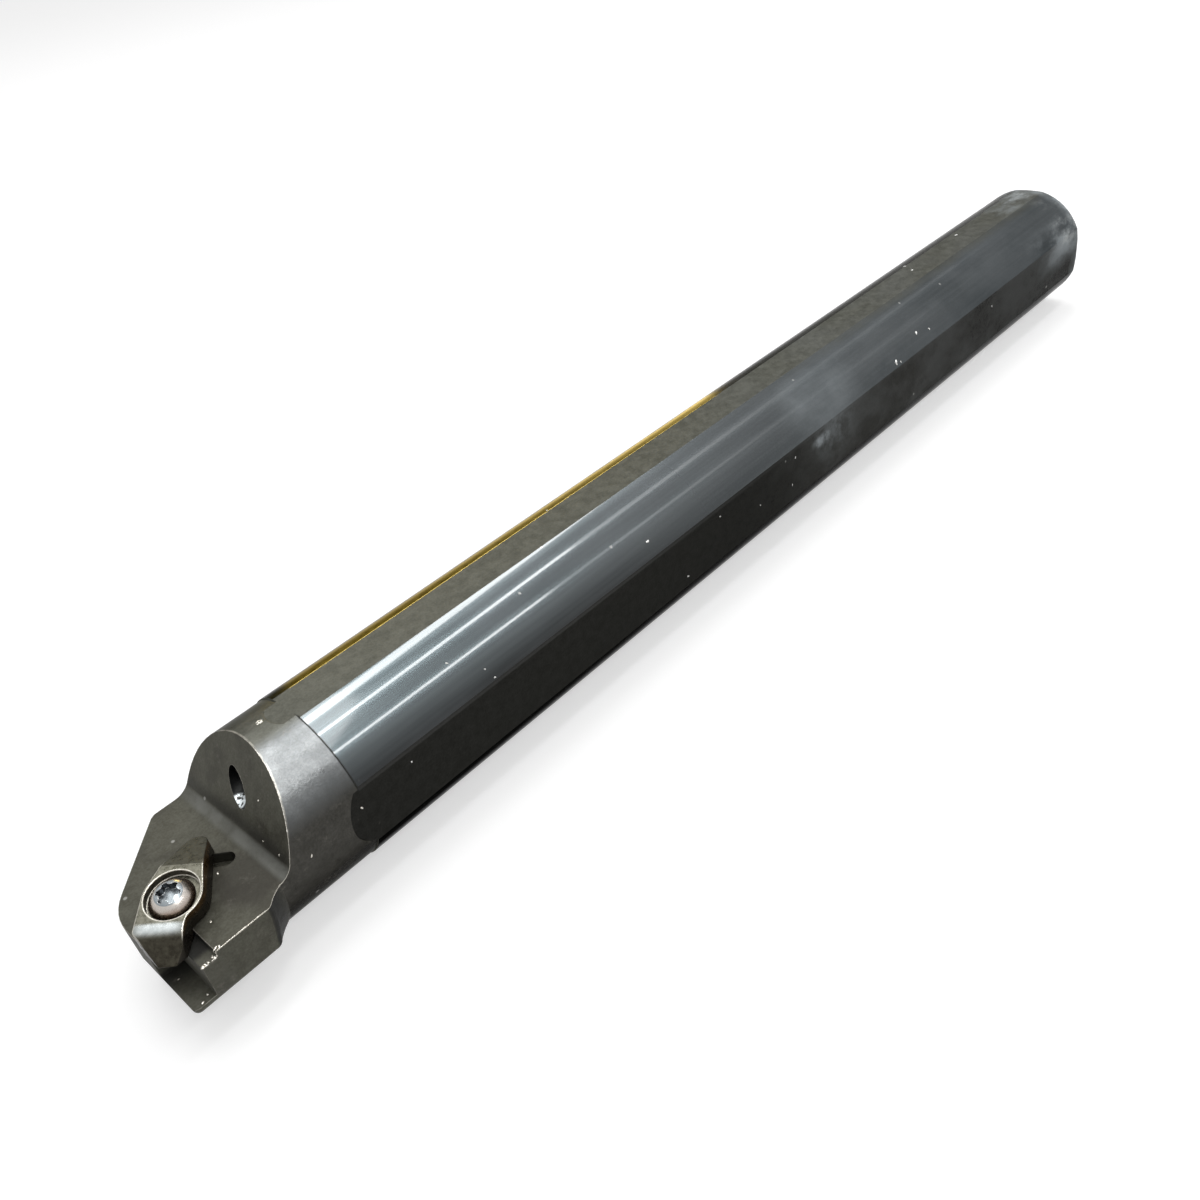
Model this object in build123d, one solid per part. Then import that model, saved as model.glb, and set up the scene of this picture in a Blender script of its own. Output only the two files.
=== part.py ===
from build123d import *
import math
import os

# Right-hand boring bar with a round shank, a flat head platform, an empty insert pocket and a finger clamp.
# Millimetres. +X runs along the bar from the head to the rear end, +Z is square to the head platform and
# the cutting side is -Y. The origin is on the bar's axis at the rear end.
# Every piece is drawn with X counted back from the head's front face, and moved to the origin at the end.

# shank
OVERALL_LENGTH = 355.6
SHANK_DIAMETER = 38.1
GROUND_SHANK_START = 43.8
REAR_CHAMFER = 1.2
HEAD_DIAMETER = 37.6

# the three clamping flats: distance from the axis, and radius of the end mill that ran out at the head
FLATS_START = 39.5
TOP_FLAT_HEIGHT = 18.48
TOP_FLAT_CUTTER_RADIUS = 4.7
SIDE_FLAT_HEIGHT = 17.6
SIDE_FLAT_CUTTER_RADIUS = 8.7

# head
PLATFORM_HEIGHT = 1.0
SHOULDER_FOOT_X = 25.0
SHOULDER_LEAN = 26.8
SHOULDER_FILLET = 4.0
FRONT_RELIEF = 10.0
CORNER_CUT_FRONT_Y = 1.45
CORNER_CUT_FRONT_RADIUS = 12.0
CORNER_CUT_SIDE_RADIUS = 3.0
BLOCK_SIDE_Y = -21.65
BLOCK_TURNED_END_X = 22.9
BLOCK_TURNED_MIDDLE = (20.3, 20.4)
BLOCK_TURNED_TOP = (17.8, 23.6)
BLOCK_CORNER_RADIUS = 1.2
BLOCK_REAR_CORNER_RADIUS = 1.5
BLOCK_UNDERSIDE_TOP_Z = -8.7
BLOCK_UNDERSIDE_SLOPE = 30.0
BLOCK_ROOT_Y = -10.0

# insert pocket
POCKET_FLOOR_Z = -7.5
POCKET_BACK_X = 4.5
POCKET_INNER_Y = -10.0
LEDGE_Z = -0.5
LEDGE_BACK_X = 7.7

# coolant channel
PORT_RADIUS = 7.35
PORT_DEPTH = 20.0
COOLANT_BORE_RADIUS = 4.5
COOLANT_BORE_END_X = 46.0
JET_RADIUS = 2.25
JET_MOUTH = Vector(29.2, 0.35, 9.4)
JET_DIRECTION = Vector(-0.754, -0.555, -0.352).normalized()
JET_DEPTH = 10.0
FEED_RADIUS = 2.0
DRILL_POINT_ANGLE = 118.0
DRILL_TIP_SHARE = 0.02

# clamp, drawn in its own frame: origin at the centre of the counterbore's rim, x to the nose, z up the screw
CLAMP_CENTRE = Vector(8.47, -8.85, 6.0)
SCREW_DIRECTION = Vector(-0.056, -0.168, 0.984).normalized()
NOSE_HEADING = Vector(-1.0, -1.0, 0.0).normalized()
BOSS_RADIUS = 5.4
TAIL_TIP = (-12.05, 0.97)
TAIL_TIP_RADIUS = 2.05
TAIL_SLOPE_START = -6.0
TAIL_END = -14.4
TAIL_TIP_DROP = 3.6
NOSE_LEFT = -5.4
NOSE_RIGHT = 3.4
NOSE_WAIST_RADIUS = 2.5
NOSE_BROW = 7.5
NOSE_BROW_RADIUS = 3.5
NOSE_FOOT = 11.3
NOSE_FOOT_DROP = 4.5
NOSE_FRONT_X = -0.2
NOSE_SIDE_Y = -17.2
COUNTERBORE_RADIUS = 4.96
COUNTERBORE_DEPTH = 1.6
CLEARANCE_HOLE_RADIUS = 3.0
CLAMP_GAP = 0.1
NOSE_GAP = 0.2

# the slot in the platform and the clamp's heel, on an axis square to the clamp's length
HEEL_SLOT_BACK = -11.5
HEEL_SLOT_LEFT = 0.3
HEEL_SLOT_RIGHT = 5.3
HEEL_SLOT_RADIUS = 1.7
HEEL_SLOT_DEPTH = 2.5
HEEL_BACK = -11.65
HEEL_LENGTH = 2.4
HEEL_WIDTH = 2.4
HEEL_OFFSET = 0.35
HEEL_CORNER_RADIUS = 0.6
HEEL_FLOOR_GAP = 0.1

# clamp screw
SCREW_OFFSET = -0.45
SCREW_RADIUS = 2.45
SCREW_END_DEPTH = 18.0
SCREW_END_CHAMFER = 0.5
TAPPED_RADIUS = 2.5
TAPPED_DEPTH = 21.0
SCREW_HEAD_RADIUS = 4.2
SCREW_HEAD_RISE = 1.3
SCREW_HEAD_RIM = 0.2
SCREW_SEAT_GAP = 0.02
SOCKET_RADIUS = 2.25
SOCKET_FLUTE_RADIUS = 0.8
SOCKET_FLUTE_CIRCLE = 2.44
SOCKET_EDGE_RADIUS = 0.2
SOCKET_DEPTH = 2.1

# how far cutters reach past what they cut, how far fused shapes overlap, and the gap that keeps walls apart
REACH = 60.0
CLAMP_REACH = 15.0
OVERLAP = 1.0
OUTLINE_GAP = 0.05
HEAD_TO_ORIGIN = Pos(-OVERALL_LENGTH, 0, 0)
CLAMP_PLANE = Plane(
    origin=CLAMP_CENTRE,
    x_dir=(NOSE_HEADING - SCREW_DIRECTION * NOSE_HEADING.dot(SCREW_DIRECTION)).normalized(),
    z_dir=SCREW_DIRECTION,
)
PLATFORM_PLANE = Plane(
    origin=(CLAMP_CENTRE.X, CLAMP_CENTRE.Y, PLATFORM_HEIGHT), x_dir=NOSE_HEADING, z_dir=(0, 0, 1)
)


def rod(start, end, radius):
    """A plain round bar between two points."""
    axis = end - start
    return extrude(Plane(origin=start, z_dir=axis.normalized()) * Circle(radius), amount=axis.length)


def drilled_hole(mouth, direction, depth, radius):
    """A blind hole with a drill point at its end; direction goes into the metal."""
    bottom = mouth + direction * depth
    point_depth = radius / math.tan(math.radians(DRILL_POINT_ANGLE / 2))
    point_plane = Plane(origin=bottom + direction * (point_depth / 2), z_dir=direction)
    return rod(mouth, bottom, radius) + point_plane * Cone(radius, radius * DRILL_TIP_SHARE, point_depth)


def cylinder_blank():
    """The ground shank, with its rear chamfer, and the slightly thinner head in front of it."""
    shank = rod(Vector(GROUND_SHANK_START, 0, 0), Vector(OVERALL_LENGTH, 0, 0), SHANK_DIAMETER / 2)
    shank = chamfer(shank.edges().sort_by(Axis.X)[-1], REAR_CHAMFER)
    return shank, rod(Vector(0, 0, 0), Vector(GROUND_SHANK_START, 0, 0), HEAD_DIAMETER / 2)


def flat_cutter(turn, height, cutter_radius):
    """The path of an end mill along the shank: straight to the rear, with a round run-out at the head."""
    run_out_x = FLATS_START + cutter_radius
    path_length = OVERALL_LENGTH - run_out_x + REACH
    depth_plane = Plane.XY.offset(height)
    straight = Pos(run_out_x + path_length / 2, 0) * Rectangle(path_length, 2 * cutter_radius)
    path = straight + Pos(run_out_x, 0) * Circle(cutter_radius)
    return Rot(turn, 0, 0) * extrude(depth_plane * path, amount=REACH)


def side_block():
    """The block that carries the pocket out past the head: flat side and sloped underside, turned behind."""
    foot = (BLOCK_TURNED_END_X, HEAD_DIAMETER / 2)
    with BuildSketch() as turned:
        with BuildLine():
            Polyline(foot, (BLOCK_TURNED_END_X, 0), (0, 0), (0, BLOCK_TURNED_TOP[1]), BLOCK_TURNED_TOP)
            ThreePointArc(BLOCK_TURNED_TOP, BLOCK_TURNED_MIDDLE, foot)
        make_face()
    drop = (BLOCK_ROOT_Y - BLOCK_SIDE_Y) * math.tan(math.radians(BLOCK_UNDERSIDE_SLOPE))
    with BuildSketch(Plane.YZ) as section:
        with BuildLine():
            Polyline((BLOCK_SIDE_Y, PLATFORM_HEIGHT), (BLOCK_ROOT_Y, PLATFORM_HEIGHT),
                     (BLOCK_ROOT_Y, BLOCK_UNDERSIDE_TOP_Z - drop), (BLOCK_SIDE_Y, BLOCK_UNDERSIDE_TOP_Z), close=True)
        make_face()
    bar_of_section = extrude(section.sketch, amount=REACH)
    front_corner = bar_of_section.edges().filter_by(Axis.Z).sort_by(Axis.Y)[:2].sort_by(Axis.X)[0]
    block = fillet(front_corner, BLOCK_CORNER_RADIUS) & revolve(turned.sketch, Axis.X)
    rear_corner = (BLOCK_TURNED_TOP[0], BLOCK_SIDE_Y, BLOCK_UNDERSIDE_TOP_Z)
    corner_edges = block.edges().sort_by_distance(rear_corner)[:3]
    return fillet(corner_edges, BLOCK_REAR_CORNER_RADIUS)


def platform_cutter():
    """The half of the head above the platform, back to a leaning shoulder with a filleted foot."""
    lean = math.tan(math.radians(SHOULDER_LEAN))
    with BuildSketch(Plane.XZ) as profile:
        with BuildLine():
            Polyline((-REACH, PLATFORM_HEIGHT), (SHOULDER_FOOT_X, PLATFORM_HEIGHT),
                     (SHOULDER_FOOT_X + REACH * lean, PLATFORM_HEIGHT + REACH),
                     (-REACH, PLATFORM_HEIGHT + REACH), close=True)
        make_face()
        foot = profile.vertices().group_by(Axis.Y)[0].sort_by(Axis.X)[-1]
        fillet(foot, SHOULDER_FILLET)
    return extrude(profile.sketch, amount=REACH, both=True)


def head_outline():
    """The head seen from above: square front face, 45 degree far corner and rounded ends to that corner."""
    far_y = HEAD_DIAMETER / 2 + OUTLINE_GAP
    corner_run = far_y - CORNER_CUT_FRONT_Y
    with BuildSketch() as outline:
        with BuildLine():
            Polyline((0, -REACH), (0, CORNER_CUT_FRONT_Y), (corner_run, far_y),
                     (REACH, far_y), (REACH, -REACH), close=True)
        make_face()
        inner = outline.vertices().sort_by_distance((0, CORNER_CUT_FRONT_Y, 0))[0]
        fillet(inner, CORNER_CUT_FRONT_RADIUS)
        outer = outline.vertices().sort_by_distance((corner_run, far_y, 0))[0]
        fillet(outer, CORNER_CUT_SIDE_RADIUS)
    return extrude(outline.sketch, amount=REACH, both=True)


def front_relief_cutter():
    """A wedge off the front face below the pocket, so that the face leans back under the insert's seat."""
    back = REACH * math.tan(math.radians(FRONT_RELIEF))
    wedge = Polyline((0, POCKET_FLOOR_Z), (back, POCKET_FLOOR_Z - REACH), (-REACH, POCKET_FLOOR_Z - REACH),
                     (-REACH, POCKET_FLOOR_Z), close=True)
    return extrude(Plane.XZ * make_face(wedge), amount=REACH, both=True)


def box_between(low, high):
    """A box from its lowest corner to its highest."""
    size = [b - a for a, b in zip(low, high)]
    return Pos(*low) * Box(*size, align=(Align.MIN, Align.MIN, Align.MIN))


def pocket_cutter():
    """The insert's seat at the cutting corner, and the shallow ledge behind it that the clamp's nose enters."""
    seat = box_between((-REACH, -REACH, POCKET_FLOOR_Z), (POCKET_BACK_X, POCKET_INNER_Y, REACH))
    ledge = box_between((-REACH, -REACH, LEDGE_Z), (LEDGE_BACK_X, POCKET_INNER_Y, REACH))
    return seat + ledge


def heel_slot_cutter():
    """The short slot across the platform that takes the clamp's heel."""
    centres = [(HEEL_SLOT_BACK, HEEL_SLOT_LEFT), (HEEL_SLOT_BACK, HEEL_SLOT_RIGHT)]
    run = HEEL_SLOT_RIGHT - HEEL_SLOT_LEFT
    middle = (HEEL_SLOT_LEFT + HEEL_SLOT_RIGHT) / 2
    slot = Pos(HEEL_SLOT_BACK, middle) * Rectangle(2 * HEEL_SLOT_RADIUS, run)
    for centre in centres:
        slot += Pos(*centre) * Circle(HEEL_SLOT_RADIUS)
    placed = PLATFORM_PLANE.offset(-HEEL_SLOT_DEPTH) * slot
    return extrude(placed, amount=HEEL_SLOT_DEPTH + OVERLAP)


def coolant_channel():
    """Rear port, long bore on the axis, and the feed that turns it into the jet in the shoulder."""
    rear = Vector(OVERALL_LENGTH, 0, 0)
    port = rod(rear, Vector(OVERALL_LENGTH - PORT_DEPTH, 0, 0), PORT_RADIUS)
    bore = drilled_hole(rear, Vector(-1, 0, 0), OVERALL_LENGTH - COOLANT_BORE_END_X, COOLANT_BORE_RADIUS)
    jet_end = JET_MOUTH - JET_DIRECTION * JET_DEPTH
    jet = rod(JET_MOUTH + JET_DIRECTION * JET_DEPTH, jet_end, JET_RADIUS)
    knee = Plane(origin=jet_end) * Sphere(JET_RADIUS)
    feed = rod(jet_end, Vector(COOLANT_BORE_END_X + COOLANT_BORE_RADIUS, 0, 0), FEED_RADIUS)
    return port + bore + jet + knee + feed


def screw_point(height):
    """A point on the screw's axis, counted from the clamp's top plane."""
    return CLAMP_PLANE.from_local_coords(Vector(0, SCREW_OFFSET, height))


def tapped_hole():
    """The threaded hole for the clamp screw, at its thread's outside size."""
    return drilled_hole(screw_point(0), SCREW_DIRECTION * -1, TAPPED_DEPTH, TAPPED_RADIUS)


def bar_body():
    """Head and shank in one piece."""
    shank, head = cylinder_blank()
    head = (head + side_block()) & head_outline()
    head = head - platform_cutter() - front_relief_cutter() - pocket_cutter() - heel_slot_cutter()
    bar = head + shank
    bar -= flat_cutter(0, TOP_FLAT_HEIGHT, TOP_FLAT_CUTTER_RADIUS)
    bar -= flat_cutter(90, SIDE_FLAT_HEIGHT, SIDE_FLAT_CUTTER_RADIUS)
    bar -= flat_cutter(180, TOP_FLAT_HEIGHT, TOP_FLAT_CUTTER_RADIUS)
    return bar - tapped_hole() - coolant_channel()


def clamp_outline():
    """The clamp seen down its screw: a boss, a tapering tail and a parallel nose with a waist on one side."""
    boss = Circle(BOSS_RADIUS)
    tail = Pos(*TAIL_TIP) * Circle(TAIL_TIP_RADIUS)
    teardrop = make_hull(boss.edges() + tail.edges())
    nose_width = NOSE_RIGHT - NOSE_LEFT
    nose_length = NOSE_FOOT + OVERLAP
    nose = Pos(nose_length / 2, (NOSE_LEFT + NOSE_RIGHT) / 2) * Rectangle(nose_length, nose_width)
    outline = teardrop + nose
    waist = outline.vertices().sort_by_distance((math.sqrt(BOSS_RADIUS**2 - NOSE_RIGHT**2), NOSE_RIGHT, 0))[0]
    return fillet(waist, NOSE_WAIST_RADIUS)


def clamp_side_profile():
    """The clamp seen from the side: sloping tail, flat top, and a round brow down to the slanted nose face."""
    profile = make_face(Polyline(
        (TAIL_END, -TAIL_TIP_DROP), (TAIL_SLOPE_START, 0), (NOSE_BROW, 0), (NOSE_FOOT, -NOSE_FOOT_DROP),
        (NOSE_FOOT, -CLAMP_REACH), (TAIL_END, -CLAMP_REACH), close=True))
    brow = profile.vertices().sort_by_distance((NOSE_BROW, 0, 0))[0]
    return fillet(brow, NOSE_BROW_RADIUS)


def clamp_underside_cutter():
    """Everything below the clamp: the platform, and the ledge where the nose goes lower."""
    body_z = PLATFORM_HEIGHT + CLAMP_GAP
    nose_z = LEDGE_Z + NOSE_GAP
    below_body = box_between((-REACH, -REACH, -REACH), (REACH, REACH, body_z))
    nose_room = box_between((-REACH, -REACH, nose_z), (LEDGE_BACK_X - NOSE_GAP, POCKET_INNER_Y - NOSE_GAP, REACH))
    return below_body - nose_room


def heel():
    """The round-cornered foot under the tail that stands in the slot."""
    foot = Pos(HEEL_BACK, HEEL_OFFSET) * RectangleRounded(HEEL_LENGTH, HEEL_WIDTH, HEEL_CORNER_RADIUS)
    height = HEEL_SLOT_DEPTH - HEEL_FLOOR_GAP
    placed = PLATFORM_PLANE.offset(-height) * foot
    return extrude(placed, amount=height + CLAMP_GAP + OVERLAP)


def clamp():
    """The finger clamp that would press on the insert."""
    plate = extrude(CLAMP_PLANE.offset(-CLAMP_REACH) * clamp_outline(), amount=2 * CLAMP_REACH)
    side_plane = Plane(origin=CLAMP_PLANE.origin, x_dir=CLAMP_PLANE.x_dir, z_dir=CLAMP_PLANE.y_dir * -1)
    body = plate & extrude(side_plane * clamp_side_profile(), amount=CLAMP_REACH, both=True)
    body &= box_between((NOSE_FRONT_X, NOSE_SIDE_Y, -REACH), (REACH, REACH, REACH))
    body = body - clamp_underside_cutter() + heel()
    body -= extrude(CLAMP_PLANE.offset(-COUNTERBORE_DEPTH) * Circle(COUNTERBORE_RADIUS), amount=REACH)
    return body - extrude(CLAMP_PLANE * Circle(CLEARANCE_HOLE_RADIUS), amount=REACH, both=True)


def screw_socket():
    """Six-lobed driver socket."""
    flutes = PolarLocations(SOCKET_FLUTE_CIRCLE, 6) * Circle(SOCKET_FLUTE_RADIUS)
    star = Circle(SOCKET_RADIUS) - flutes
    return fillet(star.vertices(), SOCKET_EDGE_RADIUS)


def clamp_screw():
    """Domed screw that goes through the clamp into the bar."""
    seat = -COUNTERBORE_DEPTH + SCREW_SEAT_GAP
    dome_foot = seat + SCREW_HEAD_RIM
    with BuildSketch(Plane.XZ) as half:
        with BuildLine():
            Polyline((0, -SCREW_END_DEPTH), (SCREW_RADIUS - SCREW_END_CHAMFER, -SCREW_END_DEPTH),
                     (SCREW_RADIUS, SCREW_END_CHAMFER - SCREW_END_DEPTH), (SCREW_RADIUS, seat),
                     (SCREW_HEAD_RADIUS, seat), (SCREW_HEAD_RADIUS, dome_foot))
            dome_rise = SCREW_HEAD_RISE - dome_foot
            dome_radius = (SCREW_HEAD_RADIUS**2 + dome_rise**2) / (2 * dome_rise)
            RadiusArc((SCREW_HEAD_RADIUS, dome_foot), (0, SCREW_HEAD_RISE), -dome_radius)
            Line((0, SCREW_HEAD_RISE), (0, -SCREW_END_DEPTH))
        make_face()
    turned = revolve(half.sketch, Axis.Z)
    turned -= extrude(Plane.XY.offset(SCREW_HEAD_RISE - SOCKET_DEPTH) * screw_socket(), amount=REACH)
    screw_plane = Plane(origin=screw_point(0), x_dir=CLAMP_PLANE.x_dir, z_dir=SCREW_DIRECTION)
    return screw_plane.location * turned


os.makedirs("parts", exist_ok=True)
for node, solid in (("bar_body", bar_body()), ("clamp", clamp()), ("clamp_screw", clamp_screw())):
    export_step(HEAD_TO_ORIGIN * solid, f"parts/{node}.step")
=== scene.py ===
import bpy
import numpy as np
from mathutils import Matrix, Vector


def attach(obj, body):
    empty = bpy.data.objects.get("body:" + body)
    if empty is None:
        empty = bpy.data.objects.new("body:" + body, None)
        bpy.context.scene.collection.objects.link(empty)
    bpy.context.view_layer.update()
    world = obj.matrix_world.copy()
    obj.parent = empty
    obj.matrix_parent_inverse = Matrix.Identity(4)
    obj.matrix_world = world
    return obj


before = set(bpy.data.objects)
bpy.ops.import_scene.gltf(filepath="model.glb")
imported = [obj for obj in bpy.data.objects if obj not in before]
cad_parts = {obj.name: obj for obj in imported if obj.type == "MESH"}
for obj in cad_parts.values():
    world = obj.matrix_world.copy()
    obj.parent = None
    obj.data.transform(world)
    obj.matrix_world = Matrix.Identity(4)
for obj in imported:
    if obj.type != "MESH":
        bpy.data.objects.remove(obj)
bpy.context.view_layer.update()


# ---------------------------------------------------------------------------
# The bar: one length of alloy steel, turned and cylindrically ground behind the
# head, with milled locating flats and a milled seat, blackened in a hot oxide bath.
# ---------------------------------------------------------------------------
BAR_LENGTH = 0.3556
SHANK_RADIUS = 0.01905
GROUND_START = 0.0438
SHOULDER_SLOPE = 0.505
SHOULDER_START = 0.0245


class Finish:
    """One metal finish: its methods add shader nodes and return the socket with their result."""

    def __init__(self, name):
        self.material = bpy.data.materials.new(name)
        self.material.use_nodes = True
        self.tree = self.material.node_tree
        self.tree.nodes.clear()
        self.steel = self.tree.nodes.new("ShaderNodeBsdfPrincipled")
        output = self.tree.nodes.new("ShaderNodeOutputMaterial")
        self.tree.links.new(self.steel.outputs["BSDF"], output.inputs["Surface"])
        self.place = self.tree.nodes.new("ShaderNodeTexCoord").outputs["Object"]
        self.x, self.y, self.z = self.parts(self.place)
        self.facing = self.tree.nodes.new("ShaderNodeNewGeometry").outputs["Normal"]
        self.nx, self.ny, self.nz = self.parts(self.facing)

    def give(self, socket, value):
        """Links a socket to a socket, or writes a plain number or colour into it."""
        if isinstance(value, bpy.types.NodeSocket):
            self.tree.links.new(value, socket)
        else:
            socket.default_value = value

    def parts(self, vector):
        """The three numbers of a vector."""
        node = self.tree.nodes.new("ShaderNodeSeparateXYZ")
        self.give(node.inputs[0], vector)
        return node.outputs[0], node.outputs[1], node.outputs[2]

    def calc(self, operation, *terms):
        """One step of arithmetic with numbers."""
        node = self.tree.nodes.new("ShaderNodeMath")
        node.operation = operation
        for socket, term in zip(node.inputs, terms):
            self.give(socket, term)
        return node.outputs[0]

    def times(self, *terms):
        """The product of all the terms."""
        product = terms[0]
        for term in terms[1:]:
            product = self.calc("MULTIPLY", product, term)
        return product

    def rise(self, value, low, high):
        """0 below low, 1 above high, and a smooth step between; low above high falls instead."""
        node = self.tree.nodes.new("ShaderNodeMapRange")
        node.interpolation_type = "SMOOTHSTEP"
        self.give(node.inputs["Value"], value)
        node.inputs["From Min"].default_value = low
        node.inputs["From Max"].default_value = high
        return node.outputs["Result"]

    def vector(self, operation, first, second=None):
        """One step of vector arithmetic: its vector result and its number result."""
        node = self.tree.nodes.new("ShaderNodeVectorMath")
        node.operation = operation
        self.give(node.inputs[0], first)
        if second is not None:
            self.give(node.inputs[1], second)
        return node.outputs[0], node.outputs[1]

    def patch(self, centre, reach, longer=1.0):
        """1 at a point of the bar and 0 from reach away (longer times that along the bar)."""
        away = self.vector("SUBTRACT", self.place, centre)[0]
        away = self.vector("MULTIPLY", away, (1.0 / longer, 1.0, 1.0))[0]
        return self.rise(self.vector("LENGTH", away)[1], reach, 0.0)

    def from_axis(self, centre, axis):
        """How far a point lies from an axis, and how far along it from its centre."""
        away = self.vector("SUBTRACT", self.place, centre)[0]
        along = self.vector("DOT_PRODUCT", away, axis)[1]
        whole = self.vector("LENGTH", away)[1]
        square = self.calc("SUBTRACT", self.times(whole, whole), self.times(along, along))
        return self.calc("SQRT", self.calc("MAXIMUM", square, 0.0)), along

    def cloud(self, size, detail=4.0, rough=0.55, stretch=(1.0, 1.0, 1.0), shift=0.0, place=None):
        """Noise from 0 to 1 whose spots are size across, drawn out along an axis by stretch."""
        mapping = self.tree.nodes.new("ShaderNodeMapping")
        self.give(mapping.inputs["Vector"], self.place if place is None else place)
        mapping.inputs["Location"].default_value = (shift, shift, shift)
        mapping.inputs["Scale"].default_value = [1.0 / (size * longer) for longer in stretch]
        noise = self.tree.nodes.new("ShaderNodeTexNoise")
        self.give(noise.inputs["Vector"], mapping.outputs["Vector"])
        noise.inputs["Scale"].default_value = 1.0
        noise.inputs["Detail"].default_value = detail
        noise.inputs["Roughness"].default_value = rough
        return noise.outputs["Fac"]

    def grains(self, size, share):
        """Small round spots in about that share of a lattice whose cells are size across."""
        cells = self.tree.nodes.new("ShaderNodeTexVoronoi")
        self.give(cells.inputs["Vector"], self.place)
        cells.inputs["Scale"].default_value = 1.0 / size
        pick = self.tree.nodes.new("ShaderNodeSeparateColor")
        self.give(pick.inputs[0], cells.outputs["Color"])
        chosen = self.rise(pick.outputs[0], 1.0 - share, 1.0 - share + 0.01)
        return self.times(chosen, self.rise(cells.outputs["Distance"], 0.16, 0.07))

    def tint(self, share, under, over):
        """The colour under, covered by the colour over where share is 1."""
        node = self.tree.nodes.new("ShaderNodeMix")
        node.data_type = "RGBA"
        self.give(node.inputs["Factor"], share)
        self.give(node.inputs[6], under)
        self.give(node.inputs[7], over)
        return node.outputs[2]

    def level(self, share, under, over):
        """The number under, moved to the number over where share is 1."""
        node = self.tree.nodes.new("ShaderNodeMix")
        node.data_type = "FLOAT"
        self.give(node.inputs["Factor"], share)
        self.give(node.inputs[2], under)
        self.give(node.inputs[3], over)
        return node.outputs[0]

    def rounded(self, width):
        """The face's normal, turned over a small radius at every sharp edge."""
        bevel = self.tree.nodes.new("ShaderNodeBevel")
        bevel.samples = 6
        bevel.inputs["Radius"].default_value = width
        return bevel.outputs["Normal"]

    def worn_edge(self, width, low=0.02, high=0.2):
        """1 along sharp edges: where a normal rounded over width leaves the face's own."""
        match = self.vector("DOT_PRODUCT", self.rounded(width), self.facing)[1]
        return self.rise(self.calc("SUBTRACT", 1.0, match), low, high)

    def relief(self, height, distance, strength=1.0, under=None):
        """A bump whose height socket stands for distance in metres, over another bump's normal."""
        bump = self.tree.nodes.new("ShaderNodeBump")
        bump.inputs["Strength"].default_value = strength
        bump.inputs["Distance"].default_value = distance
        self.give(bump.inputs["Height"], height)
        if under is not None:
            self.give(bump.inputs["Normal"], under)
        return bump.outputs["Normal"]


def opposite(f, mask):
    """A mask turned over: 1 where it is 0."""
    return f.calc("SUBTRACT", 1.0, mask)


def either(f, *masks):
    """The highest of several masks."""
    highest = masks[0]
    for mask in masks[1:]:
        highest = f.calc("MAXIMUM", highest, mask)
    return highest


def bar_regions(f):
    """Keeps on f the masks of the bar's regions, each a smooth step between two places in metres, two
    angles in radians or two parts of a normal. The turn is the angle up from the cutting side."""
    f.behind = f.calc("ADD", f.x, BAR_LENGTH)
    f.turn = f.calc("ARCTAN2", f.z, f.times(f.y, -1.0))
    radius = f.calc("SQRT", f.calc("ADD", f.times(f.y, f.y), f.times(f.z, f.z)))
    outward = f.calc("DIVIDE", f.calc("ADD", f.times(f.y, f.ny), f.times(f.z, f.nz)), radius)
    on_round = f.times(f.rise(radius, 0.01865, 0.01875), f.rise(radius, 0.01925, 0.01915))
    f.on_skin = f.times(on_round, f.rise(outward, 0.90, 0.96))
    f.ground = f.rise(f.behind, GROUND_START - 0.0001, GROUND_START + 0.0001)
    f.upward = f.times(f.rise(f.nz, 0.96, 0.995), f.rise(f.z, 0.0178, 0.0183))
    f.run_out = f.times(f.rise(f.z, 0.0165, 0.0174), f.rise(f.behind, 0.034, 0.036), opposite(f, f.on_skin))
    f.head_crown = f.times(f.rise(f.turn, 1.24, 1.44), opposite(f, f.ground), f.on_skin)
    sideward = f.times(f.rise(f.ny, -0.96, -0.995), f.rise(f.y, -0.0170, -0.0174))
    f.side_flat = f.times(sideward, f.rise(f.y, -0.0184, -0.0178))
    f.underneath = f.rise(f.turn, 0.36, 0.20)
    f.behind_top = f.rise(f.turn, 1.80, 1.84)
    f.far_skin = f.times(either(f, f.underneath, f.behind_top), f.ground)
    f.seat = f.times(f.rise(f.behind, 0.0095, 0.0080), f.rise(f.z, 0.0008, -0.0004))
    f.facing_front = f.rise(f.nx, -0.90, -0.97)


def bar_textures(f):
    """Keeps on f the noises that several of the bar's regions share."""
    unrolled = f.tree.nodes.new("ShaderNodeCombineXYZ")
    f.give(unrolled.inputs[0], f.x)
    f.give(unrolled.inputs[1], f.times(f.turn, SHANK_RADIUS))
    skin_map = unrolled.outputs[0]
    f.mottled = f.rise(f.cloud(0.0022, detail=6.0, rough=0.65), 0.28, 0.72)
    f.grainy = f.rise(f.cloud(0.0005, detail=2.0, rough=0.6, shift=9.2), 0.30, 0.70)
    f.blotchy = f.calc("ADD", f.times(f.mottled, 0.6), f.times(f.grainy, 0.4))
    f.cloudy = f.rise(f.cloud(0.0060, detail=5.0, rough=0.6, shift=8.3), 0.30, 0.70)
    f.streak = f.rise(f.cloud(0.0009, detail=3.0, stretch=(45.0, 1.0, 1.0), place=skin_map), 0.30, 0.70)
    f.wisps = f.rise(f.cloud(0.0085, detail=7.0, rough=0.68, stretch=(1.8, 1.0, 1.0), shift=7.7), 0.42, 0.66)
    f.fine_wisps = f.rise(f.cloud(0.0036, detail=6.0, rough=0.7, shift=2.2), 0.38, 0.66)
    f.patchy = f.rise(f.cloud(0.0024, detail=5.0, rough=0.7, shift=1.7), 0.34, 0.60)


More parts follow.
